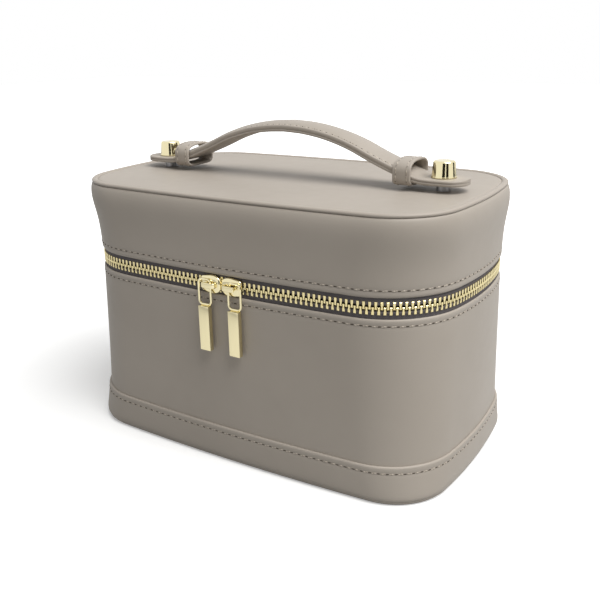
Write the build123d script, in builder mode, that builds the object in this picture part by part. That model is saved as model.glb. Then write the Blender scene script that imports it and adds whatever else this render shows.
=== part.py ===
from build123d import *
import os

os.makedirs("parts", exist_ok=True)

# A rigid vanity case in smooth leather: a deep body, a zipped lid hinged at the back and a
# padded strap handle on the lid. Millimetres, +Z up, the front faces -Y, and the origin is
# under the middle of the base, on the surface the case stands on.

# ---- driving dimensions ------------------------------------------------------------------
# plan: a rounded rectangle whose four sides bow outwards
half_width = 110.0
half_depth = 65.8
bow_front = 2.3
bow_side = 2.0

# heights of the seams
band_bottom = 2.4
band_top = 20.5
body_top = 94.6
zip_gap = 10.3
lid_wall_height = 37.0

# corner radii, and how far a wall stands outside the plan, level by level
base_radius = 31.0
band_radius = 37.5
zip_radius = 43.0
zip_draw_in = 0.4
lid_low_height, lid_low_radius, lid_low_stand = 15.0, 41.0, -0.3
lid_bulge_height, lid_bulge_radius, lid_bulge_stand = 28.6, 38.5, 0.6
lid_shoulder_height, lid_shoulder_radius, lid_shoulder_stand = 33.9, 36.5, 0.0
lid_seam_radius, lid_seam_stand = 34.5, -1.2

# layers of the walls, from the outside in
leather = 1.2
foam = 0.6
board = 2.0
lining = 0.6
band_leather = 1.2
glue_gap = 0.05

# base and floor, from the ground up
base_leather = 1.2
base_inset = 1.0
floor_foam = 2.0

# lid top
welt_width = 3.4
welt_height = 2.0
welt_round = 0.9
welt_edge = 0.4
top_leather = 1.2
top_foam = 1.2
lid_pad = 2.4

# zip
tape_tuck = 8.0
tape_edge = 1.3
tooth_pitch = 2.76
tooth_reach = 3.0
tooth_mesh = 0.55
tooth_thickness = 2.4
tooth_leg_width = 1.3
tooth_leg_length = 1.6
tooth_neck_width = 0.85
tooth_head_width = 1.1
tooth_head_length = 0.9
hinge_width = 132.0
zip_to_hinge = 1.5

# sliders
meet_x = -1.2
nose_gap = 0.15
slider_length = 12.4
slider_nose_half = 4.7
slider_tail_half = 3.9
slider_wide_length = 6.0
slider_corner = 1.2
plate_thickness = 1.3
slider_lip = 0.45
channel_half = 1.5
tape_slot_half = 0.6
web_length = 4.2
web_half = 0.38
row_spread = 1.1
bridge_width = 2.8
bridge_thickness = 1.2
bridge_post = 1.6
bridge_nose_post = 3.2

# pullers
wire = 1.5
wire_round = 0.45
wire_play = 0.3
loop_half_width = 3.7
loop_above_pivot = 2.5
loop_below_pivot = 10.85
loop_corner = 2.2
bar_width = 6.5
bar_length = 24.5
bar_thickness = 2.9
bar_bevel = 0.45
pivot_from_meet = 9.2

# handle
strap_half_width = 10.0
strap_half_length = 100.0
strap_layer = 1.4
tab_lift = 3.7
arch_rise = 21.8
core_half_width = 7.5
core_play = 0.05
strap_edge = 3.6
strap_crown = 1.7
flat_crown = 0.05
tab_round = 9.0
strap_trim = 0.5

# knobs and the screws that hold them
knob_x = 87.0
knob_radius = 6.3
knob_top_radius = 5.6
knob_height = 8.4
knob_rim = 0.4
screw_radius = 1.5
screw_clearance = 0.1
screw_in_knob = 4.5
screw_head_radius = 4.0
screw_head_height = 1.2
washer_radius = 6.0
washer_thickness = 0.6
collar_radius = 3.5

# keepers
keeper_x = 69.2
keeper_width = 9.6
keeper_leather = 1.3
keeper_side_play = 0.6
keeper_drop = 1.3
keeper_rise = 11.6
keeper_side_height = 8.0

# ---- places worked out from them ---------------------------------------------------------
zip_z = body_top + zip_gap / 2
lid_bottom = body_top + zip_gap
lid_seam = lid_bottom + lid_wall_height
to_board = leather + foam
to_lining = to_board + board
wall = to_lining + lining
zip_half_depth = half_depth + bow_front - zip_draw_in
tape_centre = leather + foam / 2
zip_front_y = -(zip_half_depth - tape_centre)
base_board_bottom = base_leather
base_board_top = base_board_bottom + board
floor_foam_top = base_board_top + floor_foam
floor_top = floor_foam_top + lining
welt_top = lid_seam + welt_height
panel_top = welt_top - welt_edge
top_foam_top = panel_top - top_leather
top_board_top = top_foam_top - top_foam
top_board_bottom = top_board_top - board
lid_pad_bottom = top_board_bottom - lid_pad
lid_ceiling = lid_pad_bottom - lining
tab_bottom = panel_top + tab_lift
tab_top = tab_bottom + 2 * strap_layer + flat_crown

body_levels = [
    (band_bottom, 0.0, base_radius),
    (band_top, 0.0, band_radius),
    (body_top, -zip_draw_in, zip_radius),
]
lid_levels = [
    (lid_bottom, -zip_draw_in, zip_radius),
    (lid_bottom + lid_low_height, lid_low_stand, lid_low_radius),
    (lid_bottom + lid_bulge_height, lid_bulge_stand, lid_bulge_radius),
    (lid_bottom + lid_shoulder_height, lid_shoulder_stand, lid_shoulder_radius),
    (lid_seam, lid_seam_stand, lid_seam_radius),
]


def level_at(levels, z):
    """How far the wall stands out, and its corner radius, at a height between the levels."""
    if z <= levels[0][0]:
        return levels[0][1], levels[0][2]
    for low, high in zip(levels, levels[1:]):
        if z <= high[0]:
            share = (z - low[0]) / (high[0] - low[0])
            return low[1] + share * (high[1] - low[1]), low[2] + share * (high[2] - low[2])
    return levels[-1][1], levels[-1][2]


def outline_points(half_x, half_y, radius):
    """The points of the plan in the quarter of +X and +Y.

    The long arcs of the sides are tangent to the corner arcs, so the plan has no kink.
    """
    span_x = half_x - radius
    span_y = half_y - radius
    front_radius = (span_x**2 + (radius + bow_front) ** 2 - radius**2) / (2 * bow_front)
    side_radius = (span_y**2 + (radius + bow_side) ** 2 - radius**2) / (2 * bow_side)
    front_centre = half_y + bow_front - front_radius
    side_centre = half_x + bow_side - side_radius
    front_share = front_radius / (front_radius - radius)
    side_share = side_radius / (side_radius - radius)
    front_touch = Vector(span_x * front_share, front_centre + (span_y - front_centre) * front_share)
    side_touch = Vector(side_centre + (span_x - side_centre) * side_share, span_y * side_share)
    corner = Vector(span_x, span_y)
    outwards = ((front_touch - corner) + (side_touch - corner)).normalized()
    return {
        "front_mid": Vector(0, half_y + bow_front),
        "front_touch": front_touch,
        "corner_mid": corner + outwards * radius,
        "side_touch": side_touch,
        "side_mid": Vector(half_x + bow_side, 0),
        "front_centre": Vector(0, front_centre),
        "front_radius": front_radius,
    }


def flipped(point, x_sign, y_sign):
    return (point.X * x_sign, point.Y * y_sign)


def plan_arcs(points):
    """Draw the whole closed plan, going round from the front."""
    ThreePointArc(
        flipped(points["front_touch"], -1, -1),
        flipped(points["front_mid"], 1, -1),
        flipped(points["front_touch"], 1, -1),
    )
    ThreePointArc(
        flipped(points["front_touch"], 1, -1),
        flipped(points["corner_mid"], 1, -1),
        flipped(points["side_touch"], 1, -1),
    )
    ThreePointArc(
        flipped(points["side_touch"], 1, -1),
        flipped(points["side_mid"], 1, 1),
        flipped(points["side_touch"], 1, 1),
    )
    ThreePointArc(
        flipped(points["side_touch"], 1, 1),
        flipped(points["corner_mid"], 1, 1),
        flipped(points["front_touch"], 1, 1),
    )
    ThreePointArc(
        flipped(points["front_touch"], 1, 1),
        flipped(points["front_mid"], 1, 1),
        flipped(points["front_touch"], -1, 1),
    )
    ThreePointArc(
        flipped(points["front_touch"], -1, 1),
        flipped(points["corner_mid"], -1, 1),
        flipped(points["side_touch"], -1, 1),
    )
    ThreePointArc(
        flipped(points["side_touch"], -1, 1),
        flipped(points["side_mid"], -1, 1),
        flipped(points["side_touch"], -1, -1),
    )
    ThreePointArc(
        flipped(points["side_touch"], -1, -1),
        flipped(points["corner_mid"], -1, -1),
        flipped(points["front_touch"], -1, -1),
    )


def plan_section(z, stand, radius, inset):
    """A filled plan at height z, set in from the wall's outer face."""
    with BuildSketch(Plane.XY.offset(z)) as section:
        with BuildLine():
            plan_arcs(
                outline_points(half_width + stand - inset, half_depth + stand - inset, radius - inset)
            )
        make_face()
    return section.sketch


def filled_wall(levels, z_low, z_high, inset, mode=Mode.ADD):
    """A solid of the wall's shape between two heights, set in from its outer face."""
    heights = [z_low] + [level[0] for level in levels if z_low < level[0] < z_high] + [z_high]
    loft([plan_section(z, *level_at(levels, z), inset) for z in heights], ruled=True, mode=mode)


def wall_layer(levels, z_low, z_high, outer_inset, inner_inset):
    """A layer of a wall, open above and below, as a solid of its own."""
    with BuildPart() as layer:
        filled_wall(levels, z_low, z_high, outer_inset)
        filled_wall(levels, z_low, z_high, inner_inset, Mode.SUBTRACT)
    return layer.part


def shell(levels, z_low, z_high, outer_inset, inner_inset):
    """Add a layer of a wall to the piece that is being built."""
    add(wall_layer(levels, z_low, z_high, outer_inset, inner_inset))


def plate(levels, z_low, z_high, inset):
    """A flat layer of the plan's shape."""
    extrude(plan_section(z_low, *level_at(levels, z_low), inset), amount=z_high - z_low)


def top_layer(z_low, thickness, inset):
    """A flat layer in the top of the lid."""
    extrude(plan_section(z_low, lid_seam_stand, lid_seam_radius, inset), amount=thickness)


def screw_holes(radius, z_low, z_high):
    """Two holes for the knobs' screws."""
    with BuildSketch(Plane.XY.offset(z_low)) as holes:
        with Locations((-knob_x, 0), (knob_x, 0)):
            Circle(radius)
    extrude(holes.sketch, amount=z_high - z_low, mode=Mode.SUBTRACT)


def finish(part, name):
    part.label = name
    export_step(part, "parts/" + name + ".step")


# ---- body of the case --------------------------------------------------------------------
with BuildPart() as base_cover:
    plate(body_levels, 0, base_leather, base_inset)
finish(base_cover.part, "base_cover")

with BuildPart() as base_board:
    filled_wall(body_levels, base_board_bottom, base_board_top, to_board)
finish(base_board.part, "base_board")

with BuildPart() as base_band:
    shell(body_levels, band_bottom, band_top, -band_leather, 0)
finish(base_band.part, "base_band")

with BuildPart() as body_wrap:
    shell(body_levels, base_board_bottom, body_top, 0, leather)
finish(body_wrap.part, "body_wrap")

with BuildPart() as body_foam:
    shell(body_levels, base_board_top, body_top - tape_tuck, leather + glue_gap, to_board)
finish(body_foam.part, "body_foam")

with BuildPart() as body_wall_board:
    shell(body_levels, base_board_top, body_top - lining, to_board, to_lining)
finish(body_wall_board.part, "body_wall_board")

with BuildPart() as body_lining:
    shell(body_levels, base_board_top, body_top - lining, to_lining, wall)
    shell(body_levels, body_top - lining, body_top, to_board, wall)
finish(body_lining.part, "body_lining")

with BuildPart() as floor_pad:
    plate(body_levels, base_board_top, floor_foam_top, wall)
finish(floor_pad.part, "floor_pad")

with BuildPart() as floor_lining:
    plate(body_levels, floor_foam_top, floor_top, wall)
finish(floor_lining.part, "floor_lining")

# ---- lid ---------------------------------------------------------------------------------
with BuildPart() as lid_wrap:
    shell(lid_levels, lid_bottom, lid_seam, 0, leather)
finish(lid_wrap.part, "lid_wrap")

with BuildPart() as lid_foam:
    shell(lid_levels, lid_bottom + tape_tuck, top_board_bottom, leather + glue_gap, to_board)
finish(lid_foam.part, "lid_foam")

with BuildPart() as lid_wall_board:
    shell(lid_levels, lid_bottom + lining, top_board_bottom, to_board, to_lining)
finish(lid_wall_board.part, "lid_wall_board")

with BuildPart() as lid_wall_lining:
    shell(lid_levels, lid_bottom, lid_bottom + lining, to_board, wall)
    shell(lid_levels, lid_bottom + lining, lid_pad_bottom, to_lining, wall)
finish(lid_wall_lining.part, "lid_wall_lining")

with BuildPart() as lid_top_board:
    top_layer(top_board_bottom, board, to_board)
    screw_holes(screw_radius + screw_clearance, top_board_bottom, top_board_top)
finish(lid_top_board.part, "lid_top_board")

with BuildPart() as lid_top_foam:
    top_layer(top_board_top, top_foam, welt_width)
    screw_holes(screw_radius + screw_clearance, top_board_top, top_foam_top)
finish(lid_top_foam.part, "lid_top_foam")

with BuildPart() as lid_top_leather:
    top_layer(top_foam_top, top_leather, welt_width)
    screw_holes(screw_radius + screw_clearance, top_foam_top, panel_top)
finish(lid_top_leather.part, "lid_top_leather")

with BuildPart() as lid_welt:
    top_layer(lid_seam, welt_height, 0)
    fillet(lid_welt.edges().group_by(Axis.Z)[-1], welt_round)
    hollow = plan_section(lid_seam, lid_seam_stand, lid_seam_radius, welt_width)
    extrude(hollow, amount=welt_height, mode=Mode.SUBTRACT)
finish(lid_welt.part, "lid_welt")

with BuildPart() as lid_lining_pad:
    top_layer(lid_pad_bottom, lid_pad, wall)
    screw_holes(washer_radius + lining, lid_pad_bottom, top_board_bottom)
finish(lid_lining_pad.part, "lid_lining_pad")

with BuildPart() as lid_top_lining:
    top_layer(lid_ceiling, lining, wall)
finish(lid_top_lining.part, "lid_top_lining")

# ---- zip ---------------------------------------------------------------------------------
hinge_half = hinge_width / 2


def tape(levels, z_low, z_high):
    """One tape of the zip: the layer behind the leather, left out where the hinge is."""
    shell(levels, z_low, z_high, leather, to_board)
    with Locations((0, half_depth, (z_low + z_high) / 2)):
        Box(hinge_width + 2 * zip_to_hinge, half_depth, z_high - z_low, mode=Mode.SUBTRACT)


with BuildPart() as lower_zip_tape:
    tape(body_levels, body_top - tape_tuck, zip_z - tape_edge)
finish(lower_zip_tape.part, "lower_zip_tape")

with BuildPart() as upper_zip_tape:
    tape(lid_levels, zip_z + tape_edge, lid_bottom + tape_tuck)
finish(upper_zip_tape.part, "upper_zip_tape")

with BuildPart() as hinge_leather:
    shell(body_levels + lid_levels, body_top - tape_tuck, lid_bottom + tape_tuck, leather, to_board)
    with Locations((0, half_depth, zip_z)):
        Box(hinge_width, half_depth, zip_gap + 2 * tape_tuck, mode=Mode.INTERSECT)
finish(hinge_leather.part, "hinge_leather")

# the line that both rows of teeth follow: from the hinge's right end round the front
tape_points = outline_points(
    half_width - zip_draw_in - tape_centre,
    half_depth - zip_draw_in - tape_centre,
    zip_radius - tape_centre,
)
back_centre = tape_points["front_centre"]
zip_start_x = hinge_half + zip_to_hinge + tooth_pitch
zip_start_y = back_centre.Y + (tape_points["front_radius"] ** 2 - zip_start_x**2) ** 0.5
near_start_x = (zip_start_x + tape_points["front_touch"].X) / 2
near_start_y = back_centre.Y + (tape_points["front_radius"] ** 2 - near_start_x**2) ** 0.5

with BuildLine(Plane.XY.offset(zip_z)) as zip_line:
    for side in (1, -1):
        corner_side = [
            [(zip_start_x, zip_start_y), (near_start_x, near_start_y), tape_points["front_touch"]],
            [tape_points["front_touch"], tape_points["corner_mid"], tape_points["side_touch"]],
        ]
        for start, middle, end in corner_side:
            ThreePointArc(
                flipped(Vector(start), side, 1), flipped(Vector(middle), side, 1), flipped(Vector(end), side, 1)
            )
        ThreePointArc(
            flipped(tape_points["side_touch"], side, 1),
            flipped(tape_points["side_mid"], side, 1),
            flipped(tape_points["side_touch"], side, -1),
        )
        ThreePointArc(
            flipped(tape_points["side_touch"], side, -1),
            flipped(tape_points["corner_mid"], side, -1),
            flipped(tape_points["front_touch"], side, -1),
        )
    ThreePointArc(
        flipped(tape_points["front_touch"], 1, -1),
        flipped(tape_points["front_mid"], 1, -1),
        flipped(tape_points["front_touch"], -1, -1),
    )

zip_wire = zip_line.wire()
tooth_count = int(zip_wire.length / tooth_pitch)


def spread_at(place):
    """How far a row stands aside where the sliders' webs part it."""
    from_meet = abs(place.X - meet_x)
    if place.Y > 0 or from_meet > slider_length:
        return 0.0
    return row_spread * min(1.0, (slider_length - from_meet) / (slider_length - web_length - 1))


def tooth_places(phase, up):
    """Where the teeth of one row sit: evenly spaced along the line, aside at the sliders."""
    places = []
    for index in range(tooth_count):
        along = (index + phase) * tooth_pitch
        place = zip_wire.position_at(along, position_mode=PositionMode.LENGTH)
        heading = zip_wire.tangent_at(along, position_mode=PositionMode.LENGTH)
        shift = Vector(0, 0, up * spread_at(place))
        places.append(Plane(origin=place + shift, x_dir=heading, z_dir=(0, 0, 1)).location)
    return places


with BuildPart() as lower_tooth:
    with BuildSketch(Plane.XZ):
        with Locations((0, tooth_leg_length / 2 - tooth_reach)):
            Rectangle(tooth_leg_width, tooth_leg_length)
        with Locations((0, (tooth_mesh + tooth_leg_length - tooth_reach) / 2)):
            Rectangle(tooth_neck_width, tooth_mesh + tooth_reach - tooth_leg_length)
        with Locations((0, tooth_mesh - tooth_head_length / 2)):
            Rectangle(tooth_head_width, tooth_head_length)
    extrude(amount=tooth_thickness / 2, both=True)

with BuildPart() as upper_tooth:
    add(lower_tooth.part.mirror(Plane.XY))

with BuildPart() as lower_zip_teeth:
    with Locations(*tooth_places(0.25, -1)):
        add(lower_tooth.part)
finish(lower_zip_teeth.part, "lower_zip_teeth")

with BuildPart() as upper_zip_teeth:
    with Locations(*tooth_places(0.75, 1)):
        add(upper_tooth.part)
finish(upper_zip_teeth.part, "upper_zip_teeth")

# ---- sliders and pullers -----------------------------------------------------------------
plate_front = channel_half + plate_thickness
bridge_back = plate_front + wire + 2 * wire_play
bridge_front = bridge_back + bridge_thickness
wire_centre = plate_front + wire_play + wire / 2


def slider_plane(depth):
    """The front view of a slider, at a depth outwards from the tape's middle."""
    return Plane(origin=(meet_x, zip_front_y - depth, zip_z), x_dir=(1, 0, 0), z_dir=(0, -1, 0))


def slider_outline(side, lip, overrun):
    """Wide at the nose, where it meets the other slider, and narrow at the tail."""
    upper = [
        (nose_gap - overrun, slider_nose_half - lip),
        (slider_wide_length, slider_nose_half - lip),
        (slider_length, slider_tail_half - lip),
    ]
    if overrun:
        upper.append((slider_length + overrun, slider_tail_half - lip))
    lower = [(x, -z) for x, z in reversed(upper)]
    return [(side * x, z) for x, z in upper + lower]


def make_slider(side):
    """A slider with its plates, lips, web and bridge in one casting; side -1 is the left one."""
    with BuildPart() as slider:
        with BuildSketch(slider_plane(-plate_front)) as outer:
            with BuildLine():
                Polyline(*slider_outline(side, 0, 0), close=True)
            make_face()
            fillet(outer.vertices(), slider_corner)
        extrude(amount=2 * plate_front)
        with BuildSketch(slider_plane(-channel_half)):
            with BuildLine():
                Polyline(*slider_outline(side, slider_lip, slider_corner), close=True)
            make_face()
        extrude(amount=2 * channel_half, mode=Mode.SUBTRACT)
        with BuildSketch(slider_plane(-tape_slot_half)):
            with Locations((side * slider_length / 2, 0)):
                Rectangle(2 * slider_length, 2 * slider_nose_half)
        extrude(amount=2 * tape_slot_half, mode=Mode.SUBTRACT)
        with BuildSketch(slider_plane(-channel_half)):
            with Locations((side * (nose_gap + slider_corner / 2 + web_length) / 2, 0)):
                Rectangle(web_length - slider_corner / 2, 2 * web_half)
        extrude(amount=2 * channel_half)
        with BuildSketch(slider_plane(plate_front)):
            with Locations((side * bridge_nose_post, 0)):
                Rectangle(bridge_post, bridge_width)
            with Locations((side * pivot_from_meet, 0)):
                Circle(bridge_post / 2)
        extrude(amount=bridge_back - plate_front)
        with BuildSketch(slider_plane(bridge_back)):
            with Locations((side * (bridge_nose_post + pivot_from_meet) / 2, 0)):
                Rectangle(pivot_from_meet - bridge_nose_post + bridge_post, bridge_width)
        extrude(amount=bridge_thickness)
        fillet(slider.faces().sort_by(Axis.Y)[0].edges(), bridge_thickness / 2)
    return slider.part


def make_puller(side):
    """A puller: a wire loop round the bridge's tail post, with a flat bar below it."""
    with BuildPart() as puller:
        loop_middle = (loop_above_pivot - loop_below_pivot) / 2
        loop_height = loop_above_pivot + loop_below_pivot
        with BuildSketch(slider_plane(wire_centre - wire / 2)):
            with Locations((side * pivot_from_meet, loop_middle)):
                RectangleRounded(2 * loop_half_width + wire, loop_height + wire, loop_corner)
                RectangleRounded(
                    2 * loop_half_width - wire, loop_height - wire, loop_corner - wire, mode=Mode.SUBTRACT
                )
        extrude(amount=wire)
        fillet(puller.edges().filter_by(Axis.Y, reverse=True), wire_round)
        with BuildSketch(slider_plane(wire_centre - wire / 2)):
            with Locations((side * pivot_from_meet, -loop_below_pivot - bar_length / 2)):
                Rectangle(bar_width, bar_length)
        extrude(amount=bar_thickness)
        chamfer(puller.faces().sort_by(Axis.Y)[0].edges(), bar_bevel)
    return puller.part


finish(make_slider(-1), "left_slider")
finish(make_slider(1), "right_slider")
finish(make_puller(-1), "left_puller")
finish(make_puller(1), "right_puller")

# ---- handle ------------------------------------------------------------------------------
# The strap's underside, from the middle of the arch out to the tab: how far out, and the
# share of the arch's rise that is left there.
arch_stations = [
    (0.0, 1.0),
    (12.0, 0.965),
    (25.0, 0.86),
    (38.0, 0.675),
    (50.0, 0.435),
    (60.0, 0.25),
    (68.0, 0.115),
    (74.0, 0.035),
    (80.0, 0.0),
    (strap_half_length + strap_trim, 0.0),
]
full_to, tab_from = 66.0, 78.0


def strap_stations():
    """Every station of the strap from left to right, as (x, z of the underside)."""
    right = [(x, tab_bottom + share * arch_rise) for x, share in arch_stations]
    left = [(-x, z) for x, z in reversed(right[1:])]
    return left + right


def arch_share(x):
    """1 where the strap is padded, 0 where it is a flat tab."""
    return min(1.0, max(0.0, (tab_from - abs(x)) / (tab_from - full_to)))


def strap_plane(stations, index):
    """A plane square to the strap's underside at a station."""
    before = stations[max(index - 1, 0)]
    after = stations[min(index + 1, len(stations) - 1)]
    x, z = stations[index]
    return Plane(origin=(x, 0, z), x_dir=(0, 1, 0), z_dir=(after[0] - before[0], 0, after[1] - before[1]))


def strap_sizes(x):
    """Thickness at the edges, crown above them, and height of the core's top."""
    share = arch_share(x)
    edge = 2 * strap_layer + share * (strap_edge - 2 * strap_layer)
    crown = flat_crown + share * (strap_crown - flat_crown)
    return edge, crown, edge + crown - strap_layer


def round_tab_ends():
    """Trim a layer of the strap to its length, with round ends."""
    with BuildSketch(Plane.XY.offset(panel_top)) as strap_plan:
        RectangleRounded(2 * strap_half_length, 2 * (strap_half_width + strap_trim), tab_round)
    strap_height = tab_lift + arch_rise + 2 * strap_edge
    extrude(strap_plan.sketch, amount=strap_height, mode=Mode.INTERSECT)


all_stations = strap_stations()

with BuildPart() as handle_bottom:
    for i, station in enumerate(all_stations):
        with BuildSketch(strap_plane(all_stations, i)):
            with Locations((0, strap_layer / 2)):
                Rectangle(2 * strap_half_width, strap_layer)
    loft(ruled=True)
    round_tab_ends()
    screw_holes(screw_radius + screw_clearance, panel_top, tab_top)
finish(handle_bottom.part, "handle_bottom")

with BuildPart() as handle_top:
    for i, station in enumerate(all_stations):
        edge, crown, core_top = strap_sizes(station[0])
        with BuildSketch(strap_plane(all_stations, i)):
            with BuildLine():
                Line((-strap_half_width, strap_layer), (-strap_half_width, edge))
                ThreePointArc((-strap_half_width, edge), (0, edge + crown), (strap_half_width, edge))
                Line((strap_half_width, edge), (strap_half_width, strap_layer))
                Line((strap_half_width, strap_layer), (core_half_width, strap_layer))
                ThreePointArc((core_half_width, strap_layer), (0, core_top), (-core_half_width, strap_layer))
                Line((-core_half_width, strap_layer), (-strap_half_width, strap_layer))
            make_face()
    loft(ruled=True)
    round_tab_ends()
    screw_holes(screw_radius + screw_clearance, panel_top, tab_top + strap_edge)
finish(handle_top.part, "handle_top")

with BuildPart() as handle_core:
    core_half = core_half_width - 4 * core_play
    core_low = strap_layer + core_play
    core_stations = [i for i, station in enumerate(all_stations) if abs(station[0]) < tab_from - 3]
    for i in core_stations:
        core_top = strap_sizes(all_stations[i][0])[2] - core_play
        with BuildSketch(strap_plane(all_stations, i)):
            with BuildLine():
                Line((-core_half, core_low), (core_half, core_low))
                ThreePointArc((core_half, core_low), (0, core_top), (-core_half, core_low))
            make_face()
    loft(ruled=True)
finish(handle_core.part, "handle_core")


def make_keeper(side):
    """A leather loop round the strap where the padded arch ends."""
    inner_half = strap_half_width + keeper_side_play
    low = tab_bottom - keeper_drop + keeper_leather
    spring = low + keeper_side_height
    high = tab_bottom + keeper_rise - keeper_leather
    start_x = side * keeper_x - keeper_width / 2
    with BuildPart() as keeper:
        for grow, mode in ((keeper_leather, Mode.ADD), (0, Mode.SUBTRACT)):
            with BuildSketch(Plane.YZ.offset(start_x)):
                with BuildLine():
                    Line((-inner_half - grow, low - grow), (inner_half + grow, low - grow))
                    Line((inner_half + grow, low - grow), (inner_half + grow, spring))
                    ThreePointArc(
                        (inner_half + grow, spring), (0, high + grow), (-inner_half - grow, spring)
                    )
                    Line((-inner_half - grow, spring), (-inner_half - grow, low - grow))
                make_face()
            extrude(amount=keeper_width, mode=mode)
    return keeper.part


finish(make_keeper(-1), "left_keeper")
finish(make_keeper(1), "right_keeper")

# ---- knobs, their screws, collars and washers --------------------------------------------
screw_head_top = top_board_bottom - washer_thickness
screw_end = tab_top + screw_in_knob


def make_knob(side):
    with BuildPart() as knob:
        with Locations((side * knob_x, 0, tab_top)):
            Cone(knob_radius, knob_top_radius, knob_height, align=(Align.CENTER, Align.CENTER, Align.MIN))
        chamfer(knob.edges().group_by(Axis.Z)[-1], knob_rim)
        with Locations((side * knob_x, 0, tab_top)):
            Cylinder(
                screw_radius, screw_in_knob, align=(Align.CENTER, Align.CENTER, Align.MIN), mode=Mode.SUBTRACT
            )
    return knob.part


def make_screw(side):
    with BuildPart() as screw:
        with Locations((side * knob_x, 0, screw_head_top - screw_head_height)):
            Cylinder(screw_head_radius, screw_head_height, align=(Align.CENTER, Align.CENTER, Align.MIN))
        with Locations((side * knob_x, 0, screw_head_top)):
            Cylinder(
                screw_radius, screw_end - screw_head_top, align=(Align.CENTER, Align.CENTER, Align.MIN)
            )
    return screw.part


def two_rings(radius, z_low, height):
    """A pair of flat rings round the two screws."""
    with BuildSketch(Plane.XY.offset(z_low)) as rings:
        with Locations((-knob_x, 0), (knob_x, 0)):
            Circle(radius)
            Circle(screw_radius + screw_clearance, mode=Mode.SUBTRACT)
    extrude(rings.sketch, amount=height)


finish(make_knob(-1), "left_knob")
finish(make_knob(1), "right_knob")
finish(make_screw(-1), "left_screw")
finish(make_screw(1), "right_screw")

with BuildPart() as screw_washers:
    two_rings(washer_radius, screw_head_top, washer_thickness)
finish(screw_washers.part, "screw_washers")

with BuildPart() as tab_collars:
    two_rings(collar_radius, panel_top, tab_lift)
finish(tab_collars.part, "tab_collars")
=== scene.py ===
import math

import bmesh
import bpy
from mathutils import Matrix, Vector


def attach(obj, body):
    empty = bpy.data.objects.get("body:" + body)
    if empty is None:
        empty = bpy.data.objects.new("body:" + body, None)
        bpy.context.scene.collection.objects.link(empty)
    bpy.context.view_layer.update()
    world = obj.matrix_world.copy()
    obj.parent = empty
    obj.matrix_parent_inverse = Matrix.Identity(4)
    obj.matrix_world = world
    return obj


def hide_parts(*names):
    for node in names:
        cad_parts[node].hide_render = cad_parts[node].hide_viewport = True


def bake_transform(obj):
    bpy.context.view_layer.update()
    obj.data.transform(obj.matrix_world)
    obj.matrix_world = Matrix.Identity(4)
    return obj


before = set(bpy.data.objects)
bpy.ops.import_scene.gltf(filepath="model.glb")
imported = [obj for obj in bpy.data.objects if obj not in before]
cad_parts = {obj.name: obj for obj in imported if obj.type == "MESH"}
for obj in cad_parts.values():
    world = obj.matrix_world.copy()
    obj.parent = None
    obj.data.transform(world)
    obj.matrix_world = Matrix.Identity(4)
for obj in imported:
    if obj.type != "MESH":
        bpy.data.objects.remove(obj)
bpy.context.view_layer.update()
print("frame loaded:", len(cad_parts), "nodes")

# Every size below is in millimetres; finishPiece turns them to metres.


def toLinear(hexColour):
    parts = [int(hexColour[i:i + 2], 16) / 255 for i in (1, 3, 5)]
    return tuple(c / 12.92 if c <= 0.04045 else ((c + 0.055) / 1.055) ** 2.4 for c in parts) + (1.0,)


def addNode(tree, kind, settings=None, links=None):  # one node with its settings and what feeds it
    node = tree.nodes.new("ShaderNode" + kind)
    for name, value in (settings or {}).items():
        if isinstance(name, int) or name in node.inputs:
            node.inputs[name].default_value = value
        else:
            setattr(node, name, value)
    for name, source in (links or {}).items():
        tree.links.new(source, node.inputs[name])
    return node


def startMaterial(name, colour, roughness, metallic=0.0, ior=1.5):
    material = bpy.data.materials.new(name)
    material.use_nodes = True
    tree = material.node_tree
    shader = tree.nodes["Principled BSDF"]
    shader.inputs["Base Color"].default_value = toLinear(colour)
    shader.inputs["Roughness"].default_value = roughness
    shader.inputs["Metallic"].default_value = metallic
    shader.inputs["IOR"].default_value = ior
    place = addNode(tree, "TexCoord").outputs["Object"]
    return material, tree, shader, place


def tintBetween(tree, shader, dark, light, factor):  # a base colour that runs between two shades
    tint = addNode(tree, "Mix", {"data_type": "RGBA", 6: toLinear(dark), 7: toLinear(light)}, {0: factor})
    tree.links.new(tint.outputs[2], shader.inputs["Base Color"])


def bumpFrom(tree, shader, strength, height, reliefMm=0.2):
    bump = addNode(tree, "Bump", {"Strength": strength, "Distance": reliefMm / 1000}, {"Height": height})
    tree.links.new(bump.outputs["Normal"], shader.inputs["Normal"])


def roughnessFrom(tree, shader, look, below, above, factor):  # rubbed spots, smoother and rougher
    low, high = look["roughness"] - below, look["roughness"] + above
    finish = addNode(tree, "MapRange", {"To Min": low, "To Max": high}, {"Value": factor})
    tree.links.new(finish.outputs["Result"], shader.inputs["Roughness"])


# Coated (PU) leather: embossed with a fine even grain and rolled smooth, nearly matt with a soft sheen
leatherLook = {
    "colour": "#A69D92", "dark": "#A39A8F", "light": "#A9A095",
    "grainMm": 0.9,  # the real pebbles are about 0.4 mm, drawn coarser so that they show
    "cloudMm": 60.0, "scuffMm": 6.0, "roughness": 0.52, "scuffed": 0.07, "bump": 0.08, "sheen": 0.08,
}


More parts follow.
